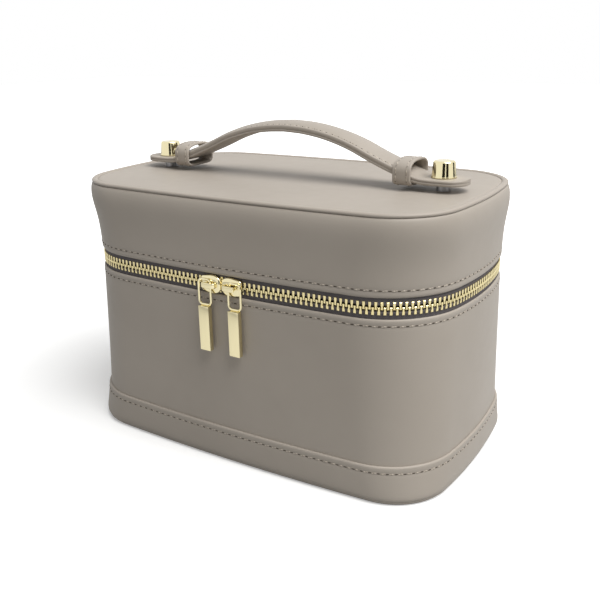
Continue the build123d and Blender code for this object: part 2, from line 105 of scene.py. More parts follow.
def coatedLeather(name, look):
    material, tree, shader, place = startMaterial(name, look["colour"], look["roughness"], ior=1.48)
    clouds = addNode(tree, "TexNoise", {"Scale": 1000 / look["cloudMm"], "Detail": 3.0, "Roughness": 0.55},
                     {"Vector": place})
    ramp = addNode(tree, "ValToRGB", links={"Fac": clouds.outputs["Fac"]})
    for element, position, shade in zip(ramp.color_ramp.elements, (0.3, 0.72), ("dark", "light")):
        element.position = position
        element.color = toLinear(look[shade])
    tree.links.new(ramp.outputs["Color"], shader.inputs["Base Color"])
    grain = addNode(tree, "TexVoronoi", {"feature": "SMOOTH_F1", "Scale": 1000 / look["grainMm"],
                                         "Smoothness": 0.6}, {"Vector": place})
    scuffs = addNode(tree, "TexNoise", {"Scale": 1000 / look["scuffMm"], "Detail": 4.0}, {"Vector": place})
    roughnessFrom(tree, shader, look, look["scuffed"], look["scuffed"], scuffs.outputs["Fac"])
    height = addNode(tree, "Math", {"operation": "MULTIPLY_ADD", 1: 0.6},
                     {0: grain.outputs["Distance"], 2: scuffs.outputs["Fac"]})
    bumpFrom(tree, shader, look["bump"], height.outputs["Value"])
    shader.inputs["Sheen Weight"].default_value = look["sheen"]
    shader.inputs["Sheen Roughness"].default_value = 0.5
    return material


taupeLeather = coatedLeather("coatedTaupeLeather", leatherLook)
strapLook = dict(leatherLook, cloudMm=18.0, bump=0.12, grainMm=0.7)
strapLeather = coatedLeather("coatedTaupeLeatherStrap", strapLook)

# Bonded polyester sewing thread: slightly glossy, twisted, a shade lighter than the leather
threadLook = {"colour": "#BFB5A7", "dark": "#978D80", "plyMm": 0.55, "roughness": 0.45}
threadMaterial, tree, shader, place = startMaterial("bondedThread", threadLook["colour"],
                                                    threadLook["roughness"])
plyGrooveShade = addNode(tree, "TexWave", {"Scale": 1000 / threadLook["plyMm"] / 6.28, "Distortion": 1.5,
                                  "bands_direction": "DIAGONAL"}, {"Vector": place})
# darker in the grooves between the twisted plies: painted shade
tintBetween(tree, shader, threadLook["dark"], threadLook["colour"], plyGrooveShade.outputs["Fac"])

# Needle holes: painted shade, a dark matt brown where the raw leather edge lies in shade
holeShadeLook = {"colour": "#4A4238", "dark": "#3A332C", "light": "#574E43", "roughness": 0.9, "speckScale": 900.0}
holeShadeMaterial, tree, shader, place = startMaterial("needleHoleShade", holeShadeLook["colour"], holeShadeLook["roughness"])
specks = addNode(tree, "TexNoise", {"Scale": holeShadeLook["speckScale"]}, {"Vector": place})
tintBetween(tree, shader, holeShadeLook["dark"], holeShadeLook["light"], specks.outputs["Fac"])

# Woven polyester zip tape: tight ribs along the tape, paler where the yarns turn (painted sheen) and darker
# in the hollows between them (painted shade)
tapeLook = {"colour": "#6A6566", "dark": "#454043", "ribMm": 0.95, "pickMm": 0.8, "roughness": 0.75,
            "bump": 0.5}
tapeMaterial, tree, shader, place = startMaterial("wovenZipTape", tapeLook["colour"], tapeLook["roughness"])
waves = []
for attribute, spacingMm in (("across", tapeLook["ribMm"]), ("along", tapeLook["pickMm"])):
    far = addNode(tree, "Attribute", {"attribute_name": attribute})
    turns = addNode(tree, "Math", {"operation": "MULTIPLY", 1: 6.283 / spacingMm}, {0: far.outputs["Fac"]})
    waves.append(addNode(tree, "Math", {"operation": "SINE"}, {0: turns.outputs[0]}).outputs[0])
weave = addNode(tree, "Math", {"operation": "MULTIPLY"}, {0: waves[0], 1: waves[1]})
weaveReliefShade = addNode(tree, "MapRange", {"From Min": -1.0}, {"Value": weave.outputs[0]})
# the tint follows the relief: painted shade in the hollows between the yarns, painted sheen on their crowns
tintBetween(tree, shader, tapeLook["dark"], tapeLook["colour"], weaveReliefShade.outputs["Result"])
bumpFrom(tree, shader, tapeLook["bump"], weaveReliefShade.outputs["Result"])

# Pale gold plating on zinc castings and brass teeth: polished, so it mirrors what stands round it
goldLook = {"colour": "#ECE1B8", "roughness": 0.07, "wearMm": 1.6, "polished": 0.03, "worn": 0.09,
            "bump": 0.04}


def goldPlate(name, look):
    material, tree, shader, place = startMaterial(name, look["colour"], look["roughness"], metallic=1.0)
    rubs = addNode(tree, "TexNoise", {"Scale": 1000 / look["wearMm"], "Detail": 5.0}, {"Vector": place})
    roughnessFrom(tree, shader, look, look["polished"], look["worn"], rubs.outputs["Fac"])
    bumpFrom(tree, shader, look["bump"], rubs.outputs["Fac"])
    return material


polishedGold = goldPlate("polishedPaleGold", goldLook)
toothGold = goldPlate("tumbledGoldTeeth", dict(goldLook, colour="#E4D5A2", roughness=0.2))

# Short-nap microfibre lining: brushed, so matt with a light edge where the nap catches light
liningLook = {"colour": "#8E8275", "dark": "#7C7165", "napMm": 1.1, "roughness": 0.95, "bump": 0.35,
              "reliefMm": 0.3, "sheen": 0.35}
liningMaterial, tree, shader, place = startMaterial("microfibreLining", liningLook["colour"],
                                                    liningLook["roughness"])
nap = addNode(tree, "TexNoise", {"Scale": 1000 / liningLook["napMm"], "Detail": 6.0}, {"Vector": place})
tintBetween(tree, shader, liningLook["dark"], liningLook["colour"], nap.outputs["Fac"])
bumpFrom(tree, shader, liningLook["bump"], nap.outputs["Fac"], liningLook["reliefMm"])
shader.inputs["Sheen Weight"].default_value = liningLook["sheen"]


# Board, foam and plain steel: each with its own grain
def hiddenMaterial(name, colour, dark, grainMm, roughness, metallic=0.0):
    material, tree, shader, place = startMaterial(name, colour, roughness, metallic)
    grain = addNode(tree, "TexNoise", {"Scale": 1000 / grainMm, "Detail": 5.0}, {"Vector": place})
    tintBetween(tree, shader, dark, colour, grain.outputs["Fac"])
    bumpFrom(tree, shader, 0.2, grain.outputs["Fac"])
    return material


# Pressed waste paper, flecked and matt; foam with fine closed cells; barrel-plated steel, satin
greyBoard = hiddenMaterial("greyBoard", "#8B8378", "#766E64", grainMm=2.5, roughness=0.9)
whiteFoam = hiddenMaterial("closedCellFoam", "#E4E1D8", "#D2CEC2", grainMm=0.8, roughness=0.8)
zincSteel = hiddenMaterial("zincPlatedSteel", "#B5B6B8", "#97989B", grainMm=1.2, roughness=0.35, metallic=1.0)
print("materials ready")

# The plan: a rounded rectangle whose sides bow out, with the levels of the body and of the lid
planShape = {"halfWidth": 110.0, "halfDepth": 65.8, "bowFront": 2.3, "bowSide": 2.0,
             "frontSteps": 16, "cornerSteps": 22, "sideSteps": 10}
bodyLevels = [(2.4, 0.0, 31.0), (20.5, 0.0, 37.5), (94.6, -0.4, 43.0)]  # height, how far out, corner radius
lidLevels = [(104.9, -0.4, 43.0), (119.9, -0.3, 41.0), (133.5, 0.6, 38.5), (138.8, 0.0, 36.5),
             (141.9, -1.2, 34.5)]
zipHeight = 99.75


def between(rows, at):  # a smooth line through rows of (place, values)
    if at <= rows[0][0]:
        return list(rows[0][1:])
    if at >= rows[-1][0]:
        return list(rows[-1][1:])
    i = max(k for k in range(len(rows) - 1) if rows[k][0] <= at)
    a, b = rows[i], rows[i + 1]
    before, after = rows[max(i - 1, 0)], rows[min(i + 2, len(rows) - 1)]
    span = b[0] - a[0]
    t = (at - a[0]) / span
    values = []
    for k in range(1, len(a)):
        slopeA = (b[k] - before[k]) / (b[0] - before[0]) * span
        slopeB = (after[k] - a[k]) / (after[0] - a[0]) * span
        values.append(a[k] * (2 * t**3 - 3 * t**2 + 1) + slopeA * (t**3 - 2 * t**2 + t)
                      + b[k] * (3 * t**2 - 2 * t**3) + slopeB * (t**3 - t**2))
    return values


# The plan's points, from the middle of the back round the right, the front and the left
def planOutline(stand, radius, push):
    halfX = planShape["halfWidth"] + stand
    halfY = planShape["halfDepth"] + stand
    spanX, spanY = halfX - radius, halfY - radius
    bowY, bowX = planShape["bowFront"], planShape["bowSide"]
    sizeY = (spanX**2 + (radius + bowY) ** 2 - radius**2) / (2 * bowY)
    sizeX = (spanY**2 + (radius + bowX) ** 2 - radius**2) / (2 * bowX)
    midY, midX = halfY + bowY - sizeY, halfX + bowX - sizeX
    turnY = math.atan2(spanY - midY, spanX)
    turnX = math.atan2(spanY, spanX - midX)
    arcs = [(0, midY, sizeY, math.pi / 2, turnY, planShape["frontSteps"]),
            (spanX, spanY, radius, turnY, turnX, planShape["cornerSteps"]),
            (midX, 0, sizeX, turnX, 0, planShape["sideSteps"])]
    quarter = []
    for x, y, size, start, end, steps in arcs:
        for step in range(steps):
            angle = start + (end - start) * step / steps
            quarter.append((x + (size + push) * math.cos(angle), y + (size + push) * math.sin(angle)))
    quarter.append((halfX + bowX + push, 0.0))
    rightFront = [(x, -y) for x, y in reversed(quarter[:-1])]
    leftFront = [(-x, -y) for x, y in quarter[1:]]
    leftBack = [(-x, y) for x, y in reversed(quarter[1:-1])]
    return quarter + rightFront + leftFront + leftBack


def wallRing(levels, height, push):
    stand, radius = between(levels, height)
    return [Vector((x, y, height)) for x, y in planOutline(stand, radius, push)]


# Even places on a line, each with where it is, which way the line runs and how far along it is
def walkAlong(points, step, closed=True, start=0.0, end=None):
    line = points + points[:1] if closed else list(points)
    lengths = [0.0]
    for a, b in zip(line, line[1:]):
        lengths.append(lengths[-1] + (b - a).length)
    last = lengths[-1] if end is None else end
    count = max(1, round((last - start) / step))
    places = []
    i = 0
    for k in range(count if closed and end is None else count + 1):
        far = min(start + (last - start) * k / count, lengths[-1] - 1e-6)
        while lengths[i + 1] < far:
            i += 1
        a, b = line[i], line[i + 1]
        share = (far - lengths[i]) / (lengths[i + 1] - lengths[i])
        before = line[i - 1 if i else (-2 if closed else 0)]
        after = line[min(i + 2, len(line) - 1)]
        turning = (b - before).normalized() * (1 - share) + (after - a).normalized() * share
        heading = (b - a).normalized() * 2 + turning
        places.append((a.lerp(b, share), heading.normalized(), far))
    return places


def loftLoops(bm, loops, joinEnds=False, cap=True, far=None):  # skins closed loops one after another
    alongLayer = bm.verts.layers.float.get("along") or bm.verts.layers.float.new("along")
    acrossLayer = bm.verts.layers.float.get("across") or bm.verts.layers.float.new("across")
    made = []
    for index, loop in enumerate(loops):
        verts = [bm.verts.new(point) for point in loop]
        across = 0.0
        for k, vert in enumerate(verts):
            across += (loop[k] - loop[k - 1]).length if k else 0.0
            vert[alongLayer] = far[index] if far else 0.0
            vert[acrossLayer] = across
        made.append([bm.edges.new((a, b)) for a, b in zip(verts, verts[1:] + verts[:1])])
    for low, high in zip(made, made[1:]):
        bmesh.ops.bridge_loops(bm, edges=low + high)
    if joinEnds:
        bmesh.ops.bridge_loops(bm, edges=made[-1] + made[0])
    elif cap:
        bmesh.ops.contextual_create(bm, geom=made[0])
        bmesh.ops.contextual_create(bm, geom=made[-1])


def finishPiece(bm, name, material, body, replaced=(), sharp=40, extra=()):
    bmesh.ops.remove_doubles(bm, verts=bm.verts, dist=1e-4)
    bmesh.ops.recalc_face_normals(bm, faces=bm.faces)
    bmesh.ops.scale(bm, vec=(0.001, 0.001, 0.001), verts=bm.verts)
    mesh = bpy.data.meshes.new(name)
    bm.to_mesh(mesh)
    bm.free()
    for each in (material,) + tuple(extra):
        mesh.materials.append(each)
    mesh.shade_smooth()
    mesh.set_sharp_from_angle(angle=math.radians(sharp))
    piece = bpy.data.objects.new(name, mesh)
    bpy.context.scene.collection.objects.link(piece)
    if body:
        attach(piece, body)
    if replaced:
        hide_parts(*replaced)
    return piece


# One stitch: a plump thread that dips into a hole at each end; each hole is a dark blob of painted shade
stitch = {"pitch": 4.3, "length": 2.9, "width": 0.75, "rise": 0.55, "slant": 8.0, "hole": 1.9,
          "holeShare": 0.32, "holeDeep": 0.4, "holeSunk": 0.05}


def stitchRow(name, places, body, size=stitch):  # places: where, along, outwards
    bm = bmesh.new()
    for where, along, outward in places:
        acrossWay = outward.cross(along).normalized()
        turn = Matrix((along, acrossWay, outward)).transposed().to_4x4()
        seat = Matrix.Translation(where) @ turn
        thread = seat @ Matrix.Rotation(math.radians(size["slant"]), 4, "Z")
        thread = thread @ Matrix.Diagonal((size["length"], size["width"], size["rise"], 1))
        bmesh.ops.create_uvsphere(bm, u_segments=8, v_segments=5, radius=0.5, matrix=thread)
        # the needle hole: a dark blob standing a little proud of the leather, painted shade
        dip = seat @ Matrix.Translation((size["pitch"] / 2, 0, -size["holeSunk"]))
        dip = dip @ Matrix.Diagonal((size["hole"], size["hole"] * size["holeShare"], size["holeDeep"], 1))
        hole = bmesh.ops.create_uvsphere(bm, u_segments=8, v_segments=4, radius=0.5, matrix=dip)
        for face in {face for vert in hole["verts"] for face in vert.link_faces}:
            face.material_index = 1
    finishPiece(bm, name, threadMaterial, body, extra=[holeShadeMaterial])


def wallStitches(name, levels, height, push, body):
    ring = wallRing(levels, height, push)
    up = Vector((0, 0, 1))
    places = [(where, along, up.cross(along)) for where, along, far in walkAlong(ring, stitch["pitch"])]
    stitchRow(name, places, body)


# A wall skin from a closed section: how far out, and at what height
def wallPiece(name, levels, profile, body, replaced, material=taupeLeather):
    bm = bmesh.new()
    loftLoops(bm, [wallRing(levels, height, push) for push, height in profile], joinEnds=True)
    finishPiece(bm, name, material, body, replaced, sharp=50)


# Leather of the body, with the edge turned in at the zip and a groove pulled by the stitches
bodySkin = {
    "outside": [(0.0, 1.3), (0.0, 8.0), (0.0, 19.0), (0.0, 21.0), (0.0, 30.0), (0.0, 45.0), (0.0, 60.0),
                (0.0, 75.0), (0.0, 88.6), (-0.04, 90.5), (-0.2, 91.3), (-0.02, 92.0), (0.1, 92.9),
                (0.08, 93.7), (-0.12, 94.3), (-0.5, 94.6), (-0.9, 94.55), (-1.2, 94.2)],
    "inside": [(-1.2, 80.0), (-1.2, 50.0), (-1.2, 20.5), (-1.2, 8.0), (-1.2, 1.3)],
    "stitchHeight": 91.3, "stitchPush": -0.05,
}
wallPiece("bodyLeather", bodyLevels, bodySkin["outside"] + bodySkin["inside"], "case", ["body_wrap"])
wallStitches("bodyEdgeStitches", bodyLevels, bodySkin["stitchHeight"], bodySkin["stitchPush"], "case")

# Band of thicker leather sewn round the foot of the body
baseBand = {
    "section": [(0.02, 20.2), (0.1, 20.5), (0.75, 20.5), (1.1, 20.25), (1.27, 19.6), (1.25, 18.6),
                (1.17, 17.7), (1.0, 17.0), (1.17, 16.3), (1.2, 14.5), (1.2, 10.0), (1.2, 6.0), (1.12, 4.4),
                (0.9, 3.3), (0.5, 2.6), (0.02, 2.4), (0.02, 8.0), (0.02, 14.0)],
    "stitchHeight": 17.0, "stitchPush": 1.12,
}
wallPiece("baseBandLeather", bodyLevels, baseBand["section"], "case", ["base_band"])
wallStitches("baseBandStitches", bodyLevels, baseBand["stitchHeight"], baseBand["stitchPush"], "case")

# Underside cover, its edge rounded over
baseCover = {"inset": 1.0, "planAt": 2.4,
             "rows": [(-6.0, 0.0), (-0.5, 0.0), (-0.15, 0.15), (0.0, 0.5), (0.0, 1.2)]}
loops = []
for push, z in baseCover["rows"]:
    plan = wallRing(bodyLevels, baseCover["planAt"], push - baseCover["inset"])
    loops.append([Vector((p.x, p.y, z)) for p in plan])
bm = bmesh.new()
loftLoops(bm, loops)
finishPiece(bm, "baseCoverLeather", taupeLeather, "case", ["base_cover"])
print("body skins ready")

# Leather of the lid wall: bulges a little below the top seam, where the foam rolls over the board
lidSkin = {
    "outside": [(-1.2, 105.3), (-0.9, 104.95), (-0.5, 104.9), (-0.12, 105.2), (0.08, 105.8), (0.1, 106.6),
                (-0.02, 107.6), (-0.2, 108.4), (-0.04, 109.2), (0.0, 111.0), (0.0, 115.0), (0.0, 120.0),
                (0.0, 125.0), (0.0, 129.0), (0.0, 132.0), (0.0, 134.5), (0.0, 137.0), (0.0, 139.0),
                (0.0, 140.3), (-0.02, 141.2), (-0.25, 141.75), (-0.7, 141.95), (-1.2, 141.9)],
    "inside": [(-1.2, 138.0), (-1.2, 133.0), (-1.2, 120.0)],
    "stitchHeight": 108.4, "stitchPush": -0.05,
}
wallPiece("lidLeather", lidLevels, lidSkin["outside"] + lidSkin["inside"], "lid", ["lid_wrap"])
wallStitches("lidEdgeStitches", lidLevels, lidSkin["stitchHeight"], lidSkin["stitchPush"], "lid")

# Rolled welt round the top, sewn between the wall and the panel
topWelt = {"section": [(-0.75, 141.95), (-0.3, 142.05), (0.0, 142.4), (0.06, 142.9), (-0.12, 143.35),
                       (-0.6, 143.7), (-1.3, 143.88), (-2.1, 143.88), (-2.8, 143.7), (-3.2, 143.35),
                       (-3.38, 142.9), (-3.38, 142.1)]}
wallPiece("topWeltLeather", lidLevels, topWelt["section"], "lid", ["lid_welt"])

# Top panel: leather over foam, dipping to the welt's inner seam
topPanel = {"rings": [(-3.42, 142.35), (-3.42, 142.95), (-3.7, 143.22), (-4.4, 143.4), (-6.0, 143.48),
                      (-12.0, 143.5), (-30.0, 143.5)]}
bm = bmesh.new()
loftLoops(bm, [wallRing(lidLevels, z, push) for push, z in topPanel["rings"]])
finishPiece(bm, "topPanelLeather", taupeLeather, "lid", ["lid_top_leather"])
print("lid skins ready")

# Zip tapes: flat tape tucked behind the leather, a corded edge for the teeth to clamp on
zipTape = {"stand": -1.9, "radius": 41.5, "hingeHalf": 67.5, "half": 0.3, "cord": 0.75, "edge": 1.3,
           "step": 2.4, "lowTuck": 87.0, "highTuck": 112.5}
zipPath = [Vector((x, y, 0.0)) for x, y in planOutline(zipTape["stand"], zipTape["radius"], 0.0)]
roundPath = walkAlong(zipPath, 1.0)
pathLength = roundPath[-1][2] + (roundPath[1][2] - roundPath[0][2])
hingeFar = next(far for where, along, far in roundPath if where.x >= zipTape["hingeHalf"])
tapeRun = walkAlong(zipPath, zipTape["step"], start=hingeFar, end=pathLength - hingeFar)


def tapePiece(name, way, tuck, body, replaced):  # way is 1 for the upper tape
    half, cord = zipTape["half"], zipTape["cord"]
    edge = zipHeight + way * zipTape["edge"]
    section = [(half, tuck), (half, edge + way * 6.0), (half, edge + way * 3.5), (half, edge + way * 1.6),
               (cord, edge + way * 1.1), (cord, edge + way * 0.4), (half, edge), (-half, edge),
               (-cord, edge + way * 0.4), (-cord, edge + way * 1.1), (-half, edge + way * 1.6), (-half, tuck)]
    loops = []
    for where, along, far in tapeRun:
        outward = Vector((0, 0, 1)).cross(along)
        loops.append([where + outward * push + Vector((0, 0, z)) for push, z in section])
    bm = bmesh.new()
    loftLoops(bm, loops, far=[far for where, along, far in tapeRun])
    finishPiece(bm, name, tapeMaterial, body, replaced, sharp=60)


tapePiece("lowerZipTape", -1, zipTape["lowTuck"], "case", ["lower_zip_tape"])
tapePiece("upperZipTape", 1, zipTape["highTuck"], "lid", ["upper_zip_tape"])

# Zip teeth: stamped brass, clamped on the cord, with a head that hooks into the other row
tooth = {"pitch": 2.76, "leg": 1.3, "neck": 0.95, "head": 1.15, "reach": 3.1, "legTop": -1.5, "waist": 0.4,
         "headLow": -0.35, "cheek": 0.3, "mesh": 0.6, "thickness": 2.3, "round": 0.22, "meetX": -1.2,
         "spread": 1.1, "sliderLength": 12.4, "partLength": 7.2}


def roundEdges(bm, edges, size, segments=2):
    bmesh.ops.bevel(bm, geom=edges, offset=size, segments=segments, profile=0.5, affect="EDGES", material=-1)


def toothMesh():
    bm = bmesh.new()
    right = [(tooth["leg"] / 2, -tooth["reach"]), (tooth["leg"] / 2, tooth["legTop"]),
             (tooth["neck"] / 2, tooth["legTop"] + tooth["waist"]), (tooth["neck"] / 2, tooth["headLow"]),
             (tooth["head"] / 2, tooth["headLow"] + tooth["cheek"]), (tooth["head"] / 2, tooth["mesh"])]
    outline = right + [(-x, z) for x, z in reversed(right)]
    face = bm.faces.new([bm.verts.new((x, -tooth["thickness"] / 2, z)) for x, z in outline])
    pulled = bmesh.ops.extrude_face_region(bm, geom=[face])
    newVerts = [item for item in pulled["geom"] if isinstance(item, bmesh.types.BMVert)]
    bmesh.ops.translate(bm, vec=(0, tooth["thickness"], 0), verts=newVerts)
    rims = [edge for edge in bm.edges if abs(edge.verts[0].co.y - edge.verts[1].co.y) < 0.01]
    roundEdges(bm, rims, tooth["round"], segments=1)
    mesh = bpy.data.meshes.new("toothShape")
    bm.to_mesh(mesh)
    bm.free()
    return mesh


def toothRow(name, phase, way, body, replaced):
    shape = toothMesh()
    bm = bmesh.new()
    first = hingeFar + tooth["pitch"]
    count = int((pathLength - 2 * first) / tooth["pitch"])
    for index in range(count):
        far = first + (index + phase) * tooth["pitch"]
        where, along, far = walkAlong(zipPath, 1.0, start=far, end=far + 0.5)[0]
        fromMeet = abs(where.x - tooth["meetX"])
        aside = 0.0
        if where.y < 0 and fromMeet < tooth["sliderLength"]:
            slope = (tooth["sliderLength"] - fromMeet) / tooth["partLength"]
            aside = tooth["spread"] * min(1.0, slope)
        outward = Vector((0, 0, 1)).cross(along)
        turn = Matrix((along * -way, outward, Vector((0, 0, -way)))).transposed().to_4x4()
        before = len(bm.verts)
        bm.from_mesh(shape)
        bm.verts.ensure_lookup_table()
        seat = Matrix.Translation(where + Vector((0, 0, zipHeight + way * aside))) @ turn
        bmesh.ops.transform(bm, matrix=seat, verts=bm.verts[before:])
    bpy.data.meshes.remove(shape)
    finishPiece(bm, name, toothGold, body, replaced, sharp=30)


toothRow("lowerZipTeeth", 0.25, -1, "case", ["lower_zip_teeth"])
toothRow("upperZipTeeth", 0.75, 1, "lid", ["upper_zip_teeth"])
print("zip ready")

# Leather hinge at the back: one strip behind both walls, across the gap where it folds on the real case; here
# it is one still piece that belongs to neither body
hingeStrip = {"foldLow": 95.0, "foldHigh": 104.5, "half": 0.3, "step": 3.0, "shortOfTape": 1.2}
# Heights of its rows, close together at the fold
hingeRows = [87.0, 91.0, 94.0] + [94.6 + k * 0.86 for k in range(13)] + [108.0, 112.5]
backRun = walkAlong(zipPath, hingeStrip["step"], start=0.0, end=hingeFar - hingeStrip["shortOfTape"])
loops = []
for side, run in ((-1, reversed(backRun)), (1, backRun[1:])):
    for where, along, far in run:
        outward = Vector((0, 0, 1)).cross(along)
        face = [where + outward * hingeStrip["half"] + Vector((0, 0, z)) for z in hingeRows]
        back = [where - outward * hingeStrip["half"] + Vector((0, 0, z)) for z in reversed(hingeRows)]
        loops.append([Vector((side * p.x, p.y, p.z)) for p in face + back])
bm = bmesh.new()
loftLoops(bm, loops)
hinge = finishPiece(bm, "hingeLeather", taupeLeather, None, ["hinge_leather"], sharp=60)
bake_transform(hinge)
print("hinge ready")

# Sliders: two domed plates joined by a web, with a bridge that carries the puller
slider = {
    "meetX": -1.2, "y": -66.2,
    # Stations from the nose: how far, half the width, share of the depth
    "stations": [(0.15, 1.6, 0.72), (0.35, 2.2, 0.84), (0.8, 2.95, 0.93), (1.5, 3.65, 0.98), (2.5, 4.25, 1.0),
                 (3.8, 4.62, 1.0), (5.0, 4.72, 1.0), (6.4, 4.68, 1.0), (8.5, 4.4, 1.0), (10.8, 4.08, 0.98),
                 (11.7, 3.85, 0.94), (12.2, 3.5, 0.86), (12.4, 3.0, 0.74)],
    "plateBack": 1.5, "plateFront": 2.8, "wall": 0.5, "flange": 0.6, "lip": 0.45, "dome": 0.45,
    "shoulder": [(0.0, 0.7), (0.2, 0.22), (0.7, 0.0)],  # in from the plate's side, back from its face
    "webAt": 2.3, "webSize": (3.4, 3.4, 0.76), "webRound": 0.15,
    "bridge": [(2.75, 2.5), (2.72, 3.6), (2.78, 4.5), (3.1, 5.1), (3.7, 5.45), (5.0, 5.58), (7.0, 5.58),
               (8.8, 5.5), (9.5, 5.42), (9.85, 5.38)],  # from the nose, outwards
    "bridgeHalf": 1.4, "bridgeThick": 1.15, "bridgeRound": 0.42, "bridgeTip": 0.72,
    "postRadius": 0.8, "postAt": 9.2, "postLength": 3.0, "postMiddle": 4.1,
    "rivetsAt": (4.6, 9.3), "rivetRadius": 0.42, "rivetOut": 6.02, "rivetFlat": 0.4,
}


def sliderPoint(side, u, w, depth):
    return Vector((slider["meetX"] + side * u, slider["y"] - depth, zipHeight + w))


def sized(matrix, x, y, z):
    return matrix @ Matrix.Diagonal((x, y, z, 1))


def roundedSection(halfWide, halfThick, corner, steps=3):  # a closed rounded rectangle
    points = []
    for signA, signB, start in ((1, 1, 0), (-1, 1, 90), (-1, -1, 180), (1, -1, 270)):
        for step in range(steps + 1):
            angle = math.radians(start + 90 * step / steps)
            points.append((signA * (halfWide - corner) + corner * math.cos(angle),
                           signB * (halfThick - corner) + corner * math.sin(angle)))
    return points


def sliderPiece(name, side, body, replaced):
    bm = bmesh.new()
    for face in (1, -1):  # front plate, back plate
        loops = []
        for u, half, share in slider["stations"]:
            front = slider["plateFront"] * share
            back = min(slider["plateBack"], front - slider["wall"])
            inner = half - slider["lip"]
            leftSide = [(-half, slider["flange"])]
            leftSide += [(-half + inwards, front - backwards) for inwards, backwards in slider["shoulder"]]
            leftSide.append((-half * 0.5, front + slider["dome"] * 0.7 * share))
            rightSide = [(-w, depth) for w, depth in reversed(leftSide)]
            hollow = [(inner, slider["flange"]), (inner, back), (-inner, back), (-inner, slider["flange"])]
            section = leftSide + [(0, front + slider["dome"] * share)] + rightSide + hollow
            loops.append([sliderPoint(side, u, w, face * depth) for w, depth in section])
        loftLoops(bm, loops)
    webSeat = Matrix.Translation(sliderPoint(side, slider["webAt"], 0, 0))
    web = bmesh.ops.create_cube(bm, size=1.0, matrix=sized(webSeat, *slider["webSize"]))
    roundEdges(bm, list({edge for vert in web["verts"] for edge in vert.link_edges}), slider["webRound"])
    loops = []
    path = slider["bridge"]
    for index, (u, depth) in enumerate(path):
        before, after = path[max(index - 1, 0)], path[min(index + 1, len(path) - 1)]
        heading = Vector((after[0] - before[0], after[1] - before[1])).normalized()
        shrink = slider["bridgeTip"] if index == len(path) - 1 else 1.0
        section = roundedSection(slider["bridgeHalf"] * shrink, slider["bridgeThick"] / 2 * shrink,
                                 slider["bridgeRound"] * shrink)
        loops.append([sliderPoint(side, u - heading.y * thick, w, depth + heading.x * thick)
                      for w, thick in section])
    loftLoops(bm, loops)
    postSeat = Matrix.Translation(sliderPoint(side, slider["postAt"], 0, slider["postMiddle"]))
    bmesh.ops.create_cone(bm, cap_ends=True, segments=20, radius1=slider["postRadius"],
                          radius2=slider["postRadius"], depth=slider["postLength"],
                          matrix=postSeat @ Matrix.Rotation(math.pi / 2, 4, "X"))
    for u in slider["rivetsAt"]:  # the rivet marks on the bridge
        rivetSeat = Matrix.Translation(sliderPoint(side, u, 0, slider["rivetOut"]))
        bmesh.ops.create_uvsphere(bm, u_segments=10, v_segments=6, radius=slider["rivetRadius"],
                                  matrix=sized(rivetSeat, 1, slider["rivetFlat"], 1))
    finishPiece(bm, name, polishedGold, body, replaced, sharp=38)


sliderPiece("leftSlider", -1, "left_slider", ["left_slider"])
sliderPiece("rightSlider", 1, "right_slider", ["right_slider"])

# Pullers: a wire loop through the bridge and a solid square bar below it
puller = {"wireRadius": 0.62, "wireStep": 0.7, "wireSides": 12, "depth": 3.85, "pivotAt": 9.2,
          "halfWidth": 3.7, "top": 2.5, "bottom": -10.85, "corner": 2.1, "barHalf": 3.25, "barTop": -11.3,
          "barBottom": -35.35, "barFront": 6.0, "barBack": 3.1, "edge": 0.35}


def pullerPiece(name, side, body, replaced):
    bm = bmesh.new()
    high, low, half = puller["top"], puller["bottom"], puller["halfWidth"]
    middle = (high + low) / 2
    outline = roundedSection(half, (high - low) / 2, puller["corner"], steps=7)
    path = [Vector((u, 0, w + middle)) for u, w in outline]
    loops = []
    for where, heading, far in walkAlong(path, puller["wireStep"]):
        outward = Vector((0, 1, 0)).cross(heading).normalized()
        ring = []
        for k in range(puller["wireSides"]):
            angle = math.tau * k / puller["wireSides"]
            p = where + outward * puller["wireRadius"] * math.cos(angle)
            ring.append(sliderPoint(side, puller["pivotAt"] + p.x, p.z,
                                    puller["depth"] + puller["wireRadius"] * math.sin(angle)))
        loops.append(ring)
    loftLoops(bm, loops, joinEnds=True)
    centre = sliderPoint(side, puller["pivotAt"], (puller["barTop"] + puller["barBottom"]) / 2,
                         (puller["barFront"] + puller["barBack"]) / 2)
    size = (2 * puller["barHalf"], puller["barFront"] - puller["barBack"],
            puller["barTop"] - puller["barBottom"])
    bar = bmesh.ops.create_cube(bm, size=1.0, matrix=sized(Matrix.Translation(centre), *size))
    roundEdges(bm, list({edge for vert in bar["verts"] for edge in vert.link_edges}), puller["edge"])
    finishPiece(bm, name, polishedGold, body, replaced, sharp=25)


pullerPiece("leftPuller", -1, "left_puller", ["left_puller"])
pullerPiece("rightPuller", 1, "right_puller", ["right_puller"])
print("sliders and pullers ready")

# Strap handle: a padded top layer over a flat lining layer, both sewn along the edges
strap = {
    "underside": [(0.0, 21.8), (12.0, 21.04), (25.0, 18.75), (38.0, 14.72), (50.0, 9.48), (60.0, 5.45),
                  (68.0, 2.51), (74.0, 0.76), (80.0, 0.0), (100.0, 0.0)],  # from the middle, above the tab
    "tabUnder": 147.2, "halfWidth": 10.0, "halfLength": 100.0, "endRound": 9.0, "layer": 1.4, "seam": 0.12,
    "flatEdge": 2.8, "archEdge": 3.6, "archCrown": 1.7, "flatCrown": 0.05, "fullTo": 66.0, "flatFrom": 78.0,
    "rim": [(-0.02, -0.6), (0.14, -0.2), (0.55, 0.02)],  # in from the side, up from the edge
    "groove": [(0.87, 0.06), (0.81, -0.1), (0.75, 0.12)],  # share of the half width, up where it is padded
    "dome": [(0.62, 0.5), (0.4, 0.82), (0.2, 0.96)],  # share of the half width, share of the crown
    "stitchIn": 1.9, "stitchTo": 63,
}


